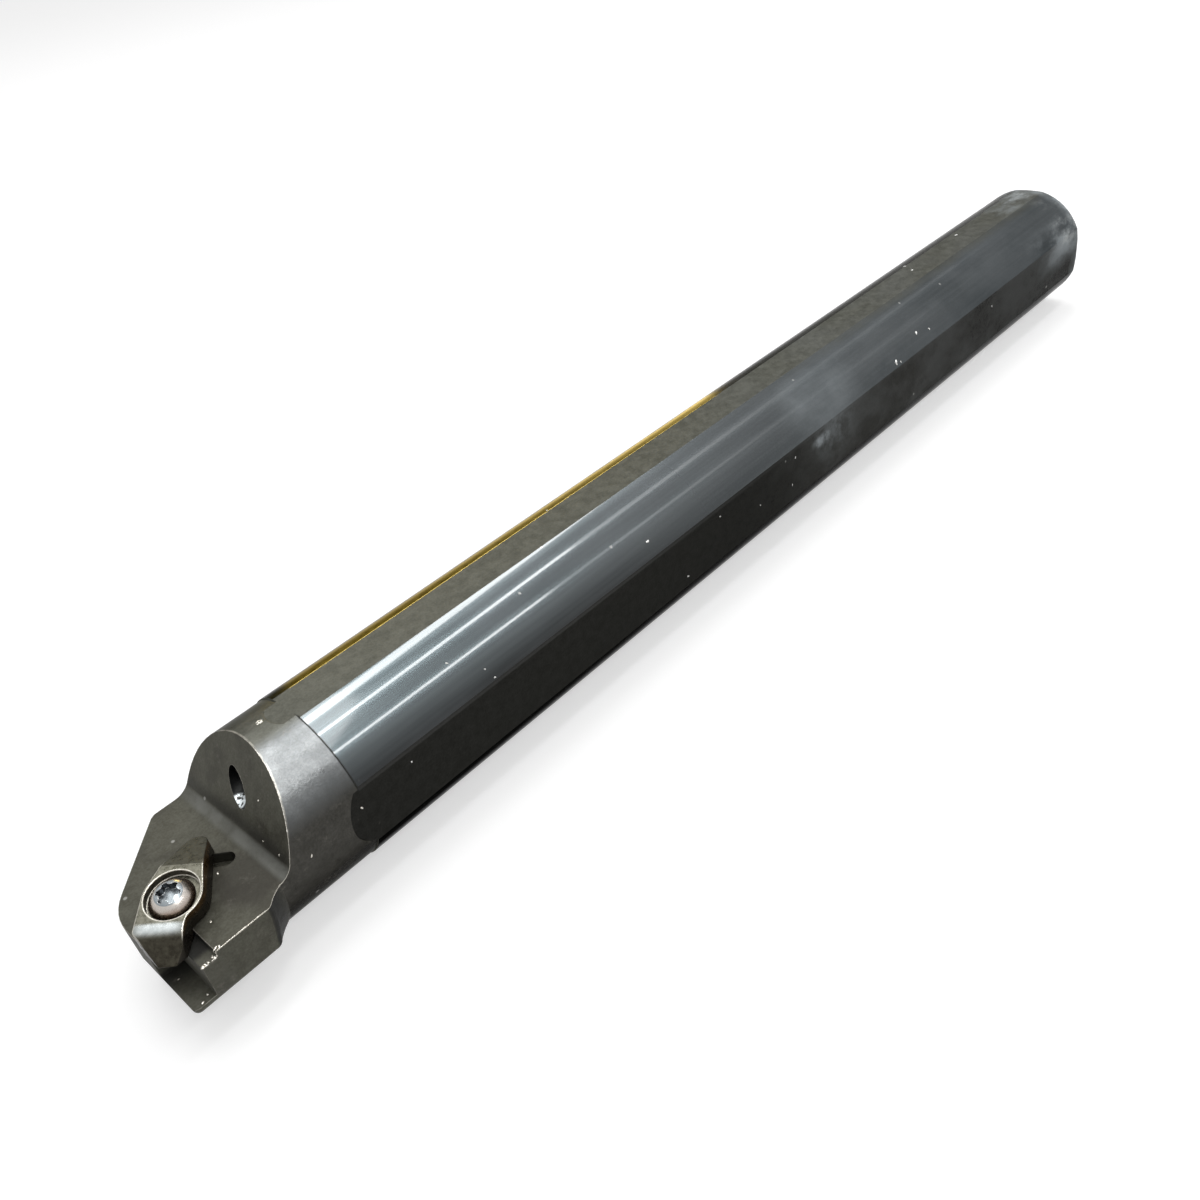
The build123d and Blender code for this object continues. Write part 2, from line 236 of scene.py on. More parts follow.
OIL_SPOT = (-0.3350, -0.0125, 0.0010)
OIL_SMUDGED = (0.040, 0.037, 0.030, 1.0)
OIL_WETTED = (0.036, 0.033, 0.028, 1.0)
FILLET_HIGHLIGHT = (0.150, 0.152, 0.138, 1.0)
SHADED_FOOT = (0.036, 0.035, 0.031, 1.0)
SEAT_OLIVE = (0.150, 0.146, 0.122, 1.0)
DEEP_SHADE = (0.018, 0.018, 0.018, 1.0)


def milled_colour(f):
    """Olive black on the seat, platform and shoulder, smudged with oil; a painted highlight in the shoulder's
    fillet, and painted shade at the shoulder's foot, on the ledge and under the clamp's nose.
    """
    olive = f.tint(f.blotchy, (0.058, 0.056, 0.042, 1.0), (0.102, 0.101, 0.082, 1.0))
    smudged = f.rise(f.cloud(0.0065, detail=5.0, rough=0.6, shift=3.3), 0.45, 0.68)
    colour = f.tint(f.times(smudged, 0.5), olive, OIL_SMUDGED)
    oily = f.rise(f.patch(OIL_SPOT, 0.0105), 0.0, 0.6)
    colour = f.tint(f.times(oily, 0.65), colour, OIL_WETTED)
    # painted highlight: a lighter, uneven grey on the shoulder's fillet, where its faces turn between up and
    # the shoulder's lean
    hollow = f.times(f.rise(f.nx, -0.12, -0.45), f.rise(f.nx, -0.86, -0.70), f.rise(f.behind, 0.028, 0.026))
    fillet_sheen = f.times(hollow, f.rise(f.z, 0.0005, 0.0012), f.level(f.cloudy, 0.35, 0.95))
    colour = f.tint(fillet_sheen, colour, FILLET_HIGHLIGHT)
    # painted shade low on the shoulder's face, just above its foot
    foot = f.times(f.rise(f.nx, -0.78, -0.86), f.rise(f.z, 0.0062, 0.0035), f.rise(f.behind, 0.030, 0.029))
    colour = f.tint(f.times(foot, 0.55), colour, SHADED_FOOT)
    colour = f.tint(f.times(f.seat, 0.10), colour, SEAT_OLIVE)
    # painted shade on the ledge and on the seat under the clamp's nose
    on_ledge = f.times(f.seat, f.rise(f.z, -0.0010, -0.0007), f.rise(f.y, -0.0196, -0.0178))
    under_nose = f.times(f.seat, f.rise(f.z, -0.0060, -0.0070), f.rise(f.y, -0.0155, -0.0115))
    shaded = either(f, f.times(on_ledge, 0.85), f.times(under_nose, 0.70))
    return f.tint(shaded, colour, DEEP_SHADE)


def head_skin_colour(f):
    """The turned head: darker low down as painted shade, and pale and cloudy along its upper side as a
    painted highlight, rubbed by handling too.
    """
    dark = f.tint(f.blotchy, (0.034, 0.033, 0.029, 1.0), (0.060, 0.058, 0.052, 1.0))
    pale = f.tint(f.cloudy, (0.112, 0.118, 0.120, 1.0), (0.172, 0.180, 0.182, 1.0))
    pale = f.tint(f.times(f.grainy, 0.35), pale, (0.085, 0.085, 0.082, 1.0))
    # painted highlight: a pale band set by the angle round the head, partly handling wear; below it the head
    # is dark as painted shade
    wear_and_highlight = f.times(f.rise(f.turn, 0.33, 0.64), f.rise(f.turn, 1.62, 1.36))
    return f.tint(wear_and_highlight, dark, pale)


BROAD_CAST = (0.095, 0.105, 0.112, 1.0)
OLIVE_PAINTED_SHADE = (0.085, 0.086, 0.073, 1.0)


def ground_skin_colour(f):
    """The ground shank: blue-black near the head and darker low down there as painted shade, greyer behind,
    and olive beside the top flat's rear half as a painted dark reflection.
    """
    low_near = f.tint(f.streak, (0.018, 0.020, 0.021, 1.0), (0.028, 0.031, 0.032, 1.0))
    high_near = f.tint(f.streak, (0.046, 0.060, 0.065, 1.0), (0.062, 0.078, 0.083, 1.0))
    # painted shade: near the head the skin is darker low down, towards the cutting side
    near = f.tint(f.rise(f.turn, 0.38, 0.80), low_near, high_near)
    far = f.tint(f.streak, (0.066, 0.073, 0.077, 1.0), (0.080, 0.088, 0.092, 1.0))
    far = f.tint(f.times(f.grainy, 0.30), far, (0.045, 0.050, 0.051, 1.0))
    colour = f.tint(f.rise(f.behind, 0.08, 0.19), near, far)
    broad = f.rise(f.cloud(0.020, detail=4.0, stretch=(2.5, 1.0, 1.0), shift=3.1), 0.40, 0.70)
    colour = f.tint(f.times(broad, 0.30), colour, BROAD_CAST)
    # painted dark reflection: the skin beside the top flat's rear half dimmed to olive, a soft edge to the
    # flat
    beside_top = f.times(f.rise(f.turn, 1.13, 1.32), f.rise(f.behind, 0.17, 0.27))
    return f.tint(f.times(beside_top, f.level(f.cloudy, 0.35, 0.9)), colour, OLIVE_PAINTED_SHADE)


def flat_colours(f):
    """The top flat, dusty olive, and the side flat, near black in front and greyer behind."""
    top = f.tint(f.blotchy, (0.076, 0.077, 0.064, 1.0), (0.120, 0.121, 0.104, 1.0))
    side_near = f.tint(f.blotchy, (0.0100, 0.0100, 0.0085, 1.0), (0.0200, 0.0200, 0.0180, 1.0))
    side_far = f.tint(f.blotchy, (0.024, 0.024, 0.022, 1.0), (0.044, 0.044, 0.041, 1.0))
    return top, f.tint(f.rise(f.behind, 0.17, 0.21), side_near, side_far)


STEP_SHADE = (0.012, 0.012, 0.012, 1.0)


def bare_colour(f):
    """The bar's colours before haze and wear, laid over one another region by region."""
    shadowed = f.tint(f.blotchy, (0.016, 0.016, 0.014, 1.0), (0.028, 0.028, 0.025, 1.0))
    back = f.tint(f.blotchy, (0.058, 0.056, 0.044, 1.0), (0.086, 0.084, 0.068, 1.0))
    top, side = flat_colours(f)
    skin = f.tint(f.ground, head_skin_colour(f), ground_skin_colour(f))
    skin = f.tint(f.times(f.underneath, f.ground), skin, shadowed)
    skin = f.tint(f.behind_top, skin, back)
    colour = f.tint(f.on_skin, milled_colour(f), skin)
    block_back = f.times(f.rise(f.nx, 0.05, 0.35), f.rise(f.behind, 0.026, 0.020))
    colour = f.tint(f.times(block_back, f.rise(f.y, -0.0110, -0.0125)), colour, shadowed)
    # the top flat and its run-out in their own colour; the head's round crown takes it too, as a painted dark
    # reflection
    colour = f.tint(either(f, f.upward, f.run_out, f.head_crown), colour, top)
    colour = f.tint(f.side_flat, colour, side)
    step_front = f.rise(f.behind, GROUND_START - 0.0003, GROUND_START)
    step_rear = f.rise(f.behind, GROUND_START + 0.0003, GROUND_START)
    step_line = f.times(step_front, step_rear, f.on_skin, f.rise(f.turn, 1.50, 1.30), 0.8)
    return f.tint(step_line, colour, STEP_SHADE)


SMEAR = (-0.1561, -0.0176, 0.0036)
DRIPS = (-0.1500, -0.0176, 0.0050)
CLOUDLET = (-0.1510, -0.0135, 0.0125)
DRIED_COOLANT = (0.30, 0.330, 0.345, 1.0)
CHALK = (0.66, 0.68, 0.67, 1.0)
THIN_FILM = (0.20, 0.21, 0.215, 1.0)


def rear_haze(f, crown):
    """Haze at the rear end: swirls beside the flats, a hazy rim, and a veil on the side flat's top half."""
    beside_flat = f.times(f.rise(f.turn, 0.20, 0.42), f.rise(f.turn, 0.86, 0.52))
    swirls = f.times(f.rise(f.behind, 0.312, 0.350), f.wisps, either(f, beside_flat, crown), 0.85)
    low_down = f.rise(f.turn, 0.78, 0.50)
    rim = f.rise(f.behind, 0.3495, 0.3545)
    rim = f.times(rim, f.level(f.fine_wisps, 0.35, 1.0), f.level(low_down, 1.0, 0.5))
    veil = f.times(f.side_flat, f.rise(f.behind, 0.318, 0.345), f.rise(f.z, -0.0040, 0.0050))
    return either(f, swirls, rim, f.times(veil, f.level(f.wisps, 0.30, 0.85)))


def side_haze(f, smoky):
    """Haze half way along: a smear on the side flat, thin drips round it, and a cloudlet above it."""
    smear = f.rise(f.patch(SMEAR, 0.0030, longer=2.2), 0.0, 0.80)
    smear = f.times(smear, f.level(f.fine_wisps, 0.10, 1.0), 0.85)
    drips = f.times(f.patch(DRIPS, 0.014), f.fine_wisps, 0.28)
    cloudlet = f.rise(f.patch(CLOUDLET, 0.014, longer=1.7), 0.0, 0.8)
    cloudlet = f.times(cloudlet, f.level(smoky, 0.45, 1.0), f.on_skin, 0.36)
    return either(f, smear, drips, cloudlet)


def under_haze(f, colour):
    """Dried coolant and dust over a colour, with chalk at the rear end and a film along the rear half."""
    crown = f.rise(f.turn, 1.25, 1.45)
    smoky = f.rise(f.cloud(0.016, detail=6.0, rough=0.6, stretch=(1.6, 1.0, 1.0), shift=4.6), 0.36, 0.64)
    f.haze = either(f, rear_haze(f, crown), side_haze(f, smoky))
    colour = f.tint(f.times(f.haze, 0.80), colour, DRIED_COOLANT)
    rear_band = f.times(f.rise(f.behind, 0.336, 0.3545), f.rise(f.turn, 0.15, 0.45), f.rise(f.turn, 2.0, 1.7))
    by_turn = f.level(f.rise(f.turn, 0.60, 0.85), 1.0, f.level(crown, 0.35, 0.8))
    chalky = f.times(rear_band, by_turn, f.fine_wisps, f.wisps)
    colour = f.tint(f.times(chalky, 0.75), colour, CHALK)
    film = f.times(f.rise(f.behind, 0.16, 0.22), smoky)
    return f.tint(f.times(film, 0.14), colour, THIN_FILM)


HEEL_SLOT = (-0.3370, -0.0044, -0.0010)
RUBBED_STEEL = (0.74, 0.70, 0.62, 1.0)
SHOULDER_RIM = (0.60, 0.57, 0.50, 1.0)


def under_wear(f, colour):
    """Rubbed bright steel over a colour, along the head's edges outside the pocket and the heel slot."""
    in_pocket = f.times(f.rise(f.behind, 0.0082, 0.0079), f.rise(f.y, -0.0213, -0.0211))
    in_pocket = f.times(in_pocket, f.rise(f.y, -0.0094, -0.0097), f.rise(f.z, 0.0008, 0.0006))
    in_slot = f.times(f.patch(HEEL_SLOT, 0.0075), f.rise(f.z, 0.0016, 0.0014))
    edge = f.times(f.worn_edge(0.00026, low=0.015, high=0.14), f.rise(f.behind, 0.040, 0.034))
    edge = f.times(edge, opposite(f, in_pocket), opposite(f, f.rise(in_slot, 0.0, 0.1)))
    crest = f.times(f.rise(f.z, 0.0004, 0.0010), f.rise(f.y, 0.003, -0.002))
    rubbed = f.times(edge, f.level(crest, f.times(f.patchy, 0.28), f.level(f.patchy, 0.55, 1.0)))
    colour = f.tint(f.times(rubbed, 0.92), colour, RUBBED_STEEL)
    shoulder_edge = f.calc("ADD", f.times(f.z, SHOULDER_SLOPE), SHOULDER_START)
    rim = f.rise(f.calc("SUBTRACT", f.behind, shoulder_edge), 0.00045, 0.00020)
    rim = f.times(rim, f.on_skin, f.rise(f.z, 0.0065, 0.0105))
    return f.tint(f.times(rim, f.level(f.patchy, 0.05, 0.45)), colour, SHOULDER_RIM)


CHIP = (-0.3173, 0.0009, 0.0188)
CHIP_STEEL = (0.86, 0.84, 0.76, 1.0)
JET_MOUTH = (-0.3264, 0.00035, 0.0094)
JET_PAINTED_SHADE = (0.010, 0.011, 0.012, 1.0)
JET_LIP = (-0.3272, -0.0002, 0.0067)
JET_GLINT = (0.80, 0.86, 0.88, 1.0)


def under_details(f, colour):
    """Single marks over a colour: a chip stuck on the head's crown, painted shade inside the jet, and a
    painted glint on its lip.
    """
    chip = f.rise(f.patch(CHIP, 0.0012, longer=1.1), 0.10, 0.50)
    chip = f.rise(f.times(chip, f.cloud(0.0007, detail=4.0, rough=0.7, shift=6.3)), 0.45, 0.52)
    colour = f.tint(chip, colour, CHIP_STEEL)
    # painted shade inside the jet's bore
    inside_jet = f.times(f.rise(f.patch(JET_MOUTH, 0.0062), 0.0, 0.1), f.rise(f.nx, -0.84, -0.70))
    colour = f.tint(f.times(inside_jet, 0.9), colour, JET_PAINTED_SHADE)
    # a painted glint on the jet's lower lip
    lip = f.times(f.rise(f.patch(JET_LIP, 0.0026), 0.15, 0.55), f.rise(f.nx, -0.80, -0.60))
    lip = f.times(lip, f.rise(f.cloud(0.0008, detail=3.0, shift=7.1), 0.40, 0.55))
    return f.tint(lip, colour, JET_GLINT)


SCUFFED = (0.16, 0.15, 0.13, 1.0)
PALE_DUST = (0.50, 0.50, 0.48, 1.0)


def under_dust(f, colour):
    """Scuffs on the head and specks of dust all over, over a colour."""
    scuff = f.rise(f.cloud(0.0035, detail=8.0, rough=0.75, shift=6.4), 0.58, 0.70)
    scuff = f.times(scuff, f.rise(f.behind, 0.05, 0.04))
    f.dust = f.grains(0.0032, 0.05)
    return f.tint(f.times(f.dust, 0.45), f.tint(f.times(scuff, 0.35), colour, SCUFFED), PALE_DUST)


def bar_roughness(f):
    """Smoothest on the ground skin, satin on the head's, dull where it is milled or under haze."""
    gloss = f.level(f.rise(f.behind, 0.10, 0.24), 0.25, 0.33)
    gloss = f.level(f.far_skin, gloss, 0.20)
    roughness = f.level(f.ground, f.level(f.mottled, 0.27, 0.35), gloss)
    roughness = f.level(f.on_skin, f.level(f.mottled, 0.40, 0.55), roughness)
    roughness = f.level(f.upward, roughness, f.level(f.mottled, 0.36, 0.48))
    roughness = f.level(f.side_flat, roughness, f.level(f.mottled, 0.28, 0.40))
    roughness = f.level(f.haze, roughness, 0.50)
    return f.level(f.facing_front, roughness, 0.60)


def bar_metal(f):
    """How far each region reflects as bare metal does: the front wall is the dullest, then the seat."""
    metal = f.level(f.on_skin, f.level(f.seat, 0.45, 0.15), f.level(f.ground, 0.85, 1.0))
    metal = f.level(either(f, f.upward, f.side_flat), metal, 0.80)
    metal = f.level(f.times(f.facing_front, f.rise(f.behind, 0.004, 0.003)), metal, 0.10)
    return f.level(either(f, f.haze, f.dust), metal, 0.60)


def oil_film(f):
    """The oil's share: on the ground skin between the two flats, and wiped away towards the rear."""
    oil = f.level(f.rise(f.behind, 0.100, 0.215), 1.0, 0.10)
    oil = f.times(oil, f.level(f.rise(f.turn, 0.44, 0.72), 0.35, 1.0), f.ground, f.on_skin)
    return f.times(oil, opposite(f, f.upward), opposite(f, f.far_skin), opposite(f, f.haze))


def black_oxide():
    """The bar's finish: bare colours, then haze, wear, single marks and dust, under a film of oil."""
    f = Finish("black_oxide_on_steel")
    bar_regions(f)
    bar_textures(f)
    colour = under_haze(f, bare_colour(f))
    colour = under_dust(f, under_details(f, under_wear(f, colour)))
    f.give(f.steel.inputs["Base Color"], colour)
    f.give(f.steel.inputs["Roughness"], bar_roughness(f))
    f.give(f.steel.inputs["Metallic"], bar_metal(f))
    f.steel.inputs["Specular Tint"].default_value = (0.30, 0.30, 0.30, 1.0)
    f.steel.inputs["Specular IOR Level"].default_value = 0.30
    f.give(f.steel.inputs["Coat Weight"], oil_film(f))
    f.steel.inputs["Coat Roughness"].default_value = 0.07
    f.steel.inputs["Coat IOR"].default_value = 1.6
    pitted = f.level(f.times(f.ground, f.on_skin), f.blotchy, 0.5)
    normal = f.relief(pitted, 0.00003, strength=0.6, under=f.rounded(0.00025))
    f.give(f.steel.inputs["Normal"], f.relief(f.streak, 0.000002, strength=0.6, under=normal))
    return f.material


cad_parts["bar_body"].material_slots[0].material = black_oxide()


# ---------------------------------------------------------------------------
# The insert clamp: a small forged and milled steel finger, satin on top from
# handling, with rust on its sides and painted shade low on them. It rides on its screw.
# ---------------------------------------------------------------------------
CLAMP_CENTRE = (-0.34713, -0.00885, 0.0060)
CLAMP_AXIS = (-0.056011, -0.168032, 0.984189)
NOSE_WAY = (-0.7071, -0.7071, 0.0)
COUNTERBORE_RADIUS = 0.00496
BROW_HIGHLIGHT = (-0.3526, -0.0128, 0.0050)
RUBBED_EDGE = (0.74, 0.71, 0.63, 1.0)
RUBBED_RIM = (0.74, 0.72, 0.65, 1.0)


def clamp_colour(f, mottled, broad, toward_nose, on_brow, wall):
    """Olive satin on top, a painted highlight along the brow, a dark front, and walls brown with rust, darker
    towards their foot as painted shade.
    """
    top = f.tint(mottled, (0.085, 0.082, 0.062, 1.0), (0.150, 0.146, 0.118, 1.0))
    tail = f.tint(mottled, (0.058, 0.056, 0.042, 1.0), (0.102, 0.100, 0.080, 1.0))
    # painted highlight: the brow's band is lighter than the top, brightest round one patch
    brow_dark = f.tint(mottled, (0.16, 0.165, 0.145, 1.0), (0.24, 0.25, 0.23, 1.0))
    brow_bright = f.tint(mottled, (0.52, 0.56, 0.56, 1.0), (0.66, 0.70, 0.70, 1.0))
    brow = f.tint(f.rise(f.patch(BROW_HIGHLIGHT, 0.0062), 0.0, 0.7), brow_dark, brow_bright)
    front = f.tint(mottled, (0.026, 0.023, 0.017, 1.0), (0.062, 0.057, 0.043, 1.0))
    colour = f.tint(f.rise(toward_nose, -0.0040, -0.0072), top, tail)
    colour = f.tint(on_brow, colour, brow)
    colour = f.tint(f.rise(toward_nose, 0.0068, 0.0080), colour, front)

    # the walls, with the counterbore's own in the tail's tone
    rust = f.tint(mottled, (0.040, 0.022, 0.008, 1.0), (0.105, 0.062, 0.024, 1.0))
    # painted shade: the walls darker towards their foot
    wall_shade = f.tint(mottled, (0.014, 0.012, 0.009, 1.0), (0.030, 0.026, 0.020, 1.0))
    side = f.tint(f.rise(f.z, 0.0030, 0.0046), wall_shade, rust)
    from_screw = f.from_axis(CLAMP_CENTRE, CLAMP_AXIS)[0]
    in_bore = f.rise(from_screw, COUNTERBORE_RADIUS + 0.00012, COUNTERBORE_RADIUS + 0.00002)
    side = f.tint(in_bore, side, tail)
    facing_nose = f.rise(f.vector("DOT_PRODUCT", f.facing, NOSE_WAY)[1], 0.80, 0.92)
    colour = f.tint(f.times(wall, opposite(f, facing_nose)), colour, side)

    # edges rubbed bright, and the counterbore's rim
    edge = f.worn_edge(0.00045, low=0.010, high=0.12)
    wear_and_highlight = f.times(f.level(broad, 0.75, 1.0), f.rise(toward_nose, -0.0078, -0.0058))
    colour = f.tint(f.times(edge, wear_and_highlight, f.rise(f.z, 0.0030, 0.0044)), colour, RUBBED_EDGE)
    rim_inside = f.rise(from_screw, COUNTERBORE_RADIUS - 0.00010, COUNTERBORE_RADIUS)
    rim_outside = f.rise(from_screw, COUNTERBORE_RADIUS + 0.00026, COUNTERBORE_RADIUS + 0.00006)
    rim = f.times(rim_inside, rim_outside, f.rise(f.nz, 0.5, 0.8))
    return f.tint(f.times(rim, f.level(broad, 0.35, 0.85)), colour, RUBBED_RIM)


def clamp_finish():
    """Satin steel, smoothest on the brow and half as metallic on the walls."""
    f = Finish("clamp_satin_steel")
    mottled = f.rise(f.cloud(0.0011, detail=6.0, rough=0.65, shift=2.3), 0.28, 0.72)
    broad = f.rise(f.cloud(0.0045, detail=3.0, shift=5.9), 0.35, 0.65)
    offset = f.vector("SUBTRACT", f.place, CLAMP_CENTRE)[0]
    toward_nose = f.vector("DOT_PRODUCT", offset, NOSE_WAY)[1]
    on_brow = f.times(f.rise(toward_nose, 0.0050, 0.0060), f.rise(toward_nose, 0.0078, 0.0064))
    wall = f.rise(f.nz, 0.50, 0.20)
    colour = clamp_colour(f, mottled, broad, toward_nose, on_brow, wall)
    f.give(f.steel.inputs["Base Color"], colour)
    f.give(f.steel.inputs["Metallic"], f.level(wall, 0.95, 0.5))
    f.steel.inputs["Specular Tint"].default_value = (0.45, 0.45, 0.45, 1.0)
    f.steel.inputs["Specular IOR Level"].default_value = 0.30
    f.give(f.steel.inputs["Roughness"], f.level(on_brow, f.level(mottled, 0.24, 0.38), 0.20))
    dented = f.level(on_brow, mottled, 0.5)
    f.give(f.steel.inputs["Normal"], f.relief(dented, 0.00004, strength=0.6, under=f.rounded(0.00035)))
    return f.material


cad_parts["clamp"].material_slots[0].material = clamp_finish()


# ---------------------------------------------------------------------------
# The clamp screw: a turned button-head screw with a six-lobed socket, pale
# satin with a pinkish bronze tint, its socket broached, with painted shade on its walls and painted light on
# its floor.
# ---------------------------------------------------------------------------
SCREW_HEAD_CENTRE = (-0.347447, -0.008533, 0.006036)
SOCKET_RADIUS = 0.0025
# how many radians the rings' wave takes per metre of radius
RING_SCALE = 42000.0
RIM_SHADE = (0.060, 0.045, 0.034, 1.0)
SOCKET_EDGE = (0.76, 0.73, 0.70, 1.0)


def screw_finish():
    """Pale satin steel, bronze towards the rim, with turning rings: a sine of the radius as relief."""
    f = Finish("screw_satin_steel")
    mottled = f.cloud(0.0007, detail=5.0, rough=0.6, shift=4.4)
    tinted = f.rise(f.cloud(0.0028, detail=3.0, shift=1.9), 0.38, 0.62)
    radius = f.from_axis(SCREW_HEAD_CENTRE, CLAMP_AXIS)[0]
    facing_up = f.vector("DOT_PRODUCT", f.facing, CLAMP_AXIS)[1]
    pale = f.tint(mottled, (0.42, 0.39, 0.36, 1.0), (0.64, 0.60, 0.56, 1.0))
    bronze = f.tint(mottled, (0.20, 0.135, 0.100, 1.0), (0.34, 0.235, 0.175, 1.0))
    colour = f.tint(f.times(f.rise(radius, 0.0026, 0.0041), f.level(tinted, 0.55, 1.0)), pale, bronze)
    # painted shade on the socket's walls and painted light on its floor, set by which way they face
    lobe_wall = f.tint(mottled, (0.030, 0.031, 0.034, 1.0), (0.075, 0.080, 0.088, 1.0))
    lobe_floor = f.tint(mottled, (0.24, 0.27, 0.29, 1.0), (0.40, 0.44, 0.46, 1.0))
    colour = f.tint(f.rise(radius, 0.0039, 0.00415), colour, RIM_SHADE)
    socket = f.tint(f.rise(facing_up, 0.70, 0.90), lobe_wall, lobe_floor)
    colour = f.tint(f.rise(radius, SOCKET_RADIUS + 0.00012, SOCKET_RADIUS), colour, socket)
    socket_edge = f.times(f.worn_edge(0.00010), f.rise(radius, 0.0036, 0.0030))
    colour = f.tint(socket_edge, colour, SOCKET_EDGE)
    f.give(f.steel.inputs["Base Color"], colour)
    f.steel.inputs["Metallic"].default_value = 1.0
    f.give(f.steel.inputs["Roughness"], f.level(mottled, 0.20, 0.34))
    rings = f.calc("SINE", f.times(radius, RING_SCALE))
    f.give(f.steel.inputs["Normal"], f.relief(rings, 0.000002, strength=0.4, under=f.rounded(0.00015)))
    return f.material


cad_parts["clamp_screw"].material_slots[0].material = screw_finish()


# ---------------------------------------------------------------------------
# Burrs: fine torn ridges that milling left along the head's sharp edges, rubbed
# bright since. They are part of the bar's steel and stand on its edges.
# ---------------------------------------------------------------------------
def bright_steel():
    """Bare torn steel, uneven in tone and gloss."""
    f = Finish("bare_torn_steel")
    mottled = f.rise(f.cloud(0.0006, detail=4.0, rough=0.6), 0.30, 0.70)
    f.give(f.steel.inputs["Base Color"], f.tint(mottled, (0.48, 0.44, 0.37, 1.0), (0.86, 0.83, 0.77, 1.0)))
    f.give(f.steel.inputs["Roughness"], f.level(mottled, 0.25, 0.45))
    f.give(f.steel.inputs["Metallic"], f.level(mottled, 0.75, 1.0))
    f.give(f.steel.inputs["Normal"], f.relief(mottled, 0.00003))
    return f.material


def smooth_object(name, points, faces, material):
    """A smooth-shaded mesh object from its points and faces."""
    mesh = bpy.data.meshes.new(name)
    mesh.from_pydata(points.reshape(-1, 3).tolist(), [], faces)
    mesh.polygons.foreach_set("use_smooth", np.ones(len(faces), dtype=bool))
    mesh.materials.append(material)
    piece = bpy.data.objects.new(name, mesh)
    bpy.context.scene.collection.objects.link(piece)
    return piece


def numbered_rings(rings, around):
    """Numbers for points in closed rings, the next point's number, and faces from ring to ring."""
    here = np.arange(rings * around).reshape(rings, around)
    ahead = np.roll(here, -1, axis=1)
    quads = np.stack([here[:-1], ahead[:-1], ahead[1:], here[1:]], axis=-1).reshape(-1, 4)
    return here, ahead, quads


def grid_mesh(name, points, rides_on, material, capped=True):
    """A tube of closed rings of points: its first and last ring are capped, or else joined."""
    here, ahead, quads = numbered_rings(*points.shape[:2])
    faces = quads.tolist()
    if capped:
        faces += [here[0, ::-1].tolist(), here[-1].tolist()]
    else:
        faces += np.stack([here[-1], ahead[-1], ahead[0], here[0]], axis=-1).tolist()
    piece = smooth_object(name, points, faces, material)
    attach(piece, rides_on)


BURR_STEP = 0.00022
BURR_FADE = 0.0006


def burr_ridge(name, path, thickness, seed, material):
    """A ridge along a path: rings of eight points round it, whose radius wanders by chance and dies
    away at both ends."""
    chance = np.random.default_rng(seed)
    path = np.asarray(path, dtype=float)
    gaps = np.linalg.norm(np.diff(path, axis=0), axis=1)
    reach = np.concatenate([[0.0], np.cumsum(gaps)])
    steps = int(reach[-1] / BURR_STEP) + 2
    run = np.linspace(0.0, reach[-1], steps)
    line = np.stack([np.interp(run, reach, path[:, axis]) for axis in range(3)], axis=1)
    forward = np.gradient(line, axis=0)
    forward /= np.linalg.norm(forward, axis=1, keepdims=True)
    upright = np.cross(forward, np.cross([0.0, 0.0, 1.0], forward) + [1e-9, 0.0, 0.0])
    upright /= np.linalg.norm(upright, axis=1, keepdims=True)
    level = np.cross(upright, forward)
    ragged = 0.30 + 0.90 * chance.random(steps) ** 2
    ends = np.clip(np.minimum(run, reach[-1] - run) / BURR_FADE, 0.05, 1.0)
    radius = thickness * ragged * ends
    angle = np.linspace(0.0, 2 * np.pi, 8, endpoint=False)[None, :, None]
    ring = np.cos(angle) * level[:, None, :] + np.sin(angle) * upright[:, None, :]
    points = line[:, None, :] + ring * radius[:, None, None]
    grid_mesh(name, points, "bar", material)


def head_point(behind, across, height):
    """A point given in millimetres behind the head's front face, across and above the bar's axis."""
    return (behind / 1000 - BAR_LENGTH, across / 1000, height / 1000)


# in millimetres, as head_point takes them
HEAD_RADIUS = 18.8
PLATFORM_HEIGHT = 1.0
SHOULDER_FOOT = 25.0

SHOULDER_LEAN = np.radians(26.8)
torn = bright_steel()


def shoulder_point(angle):
    """A point of the shoulder's edge: on the head's round skin, leaning back as it rises."""
    height = HEAD_RADIUS * np.sin(angle)
    lean = (height - PLATFORM_HEIGHT) * np.tan(SHOULDER_LEAN)
    return head_point(SHOULDER_FOOT + lean, -HEAD_RADIUS * np.cos(angle), height)


shoulder_edge = [shoulder_point(angle) for angle in np.linspace(np.radians(79), np.radians(25), 60)]
burr_ridge("shoulder_edge_burr", shoulder_edge, 0.00009, 11, torn)

# each burr: its name, thickness in metres, seed, and the points of its edge as head_point takes them
BURRS = (("block_edge_burr", 0.00008, 12, ((18.2, -21.50, 1.0), (7.9, -21.50, 1.0))),
         ("ledge_side_burr", 0.00017, 13, ((7.7, -21.40, 0.9), (7.6, -21.40, -0.4), (6.2, -21.40, -0.5))),
         ("ledge_front_burr", 0.00020, 14, ((6.0, -21.38, -0.5), (4.6, -21.38, -0.5), (4.5, -20.7, -0.5))),
         ("corner_burr", 0.00036, 15, ((8.0, -21.2, 1.05), (7.6, -21.2, 1.15), (7.4, -21.25, 0.8))),
         ("seat_corner_burr", 0.00034, 16, ((4.9, -21.22, -0.4), (4.5, -21.22, -0.45), (4.3, -21.15, -0.7))))
for name, thickness, seed, edge in BURRS:
    burr_ridge(name, [head_point(*point) for point in edge], thickness, seed, torn)


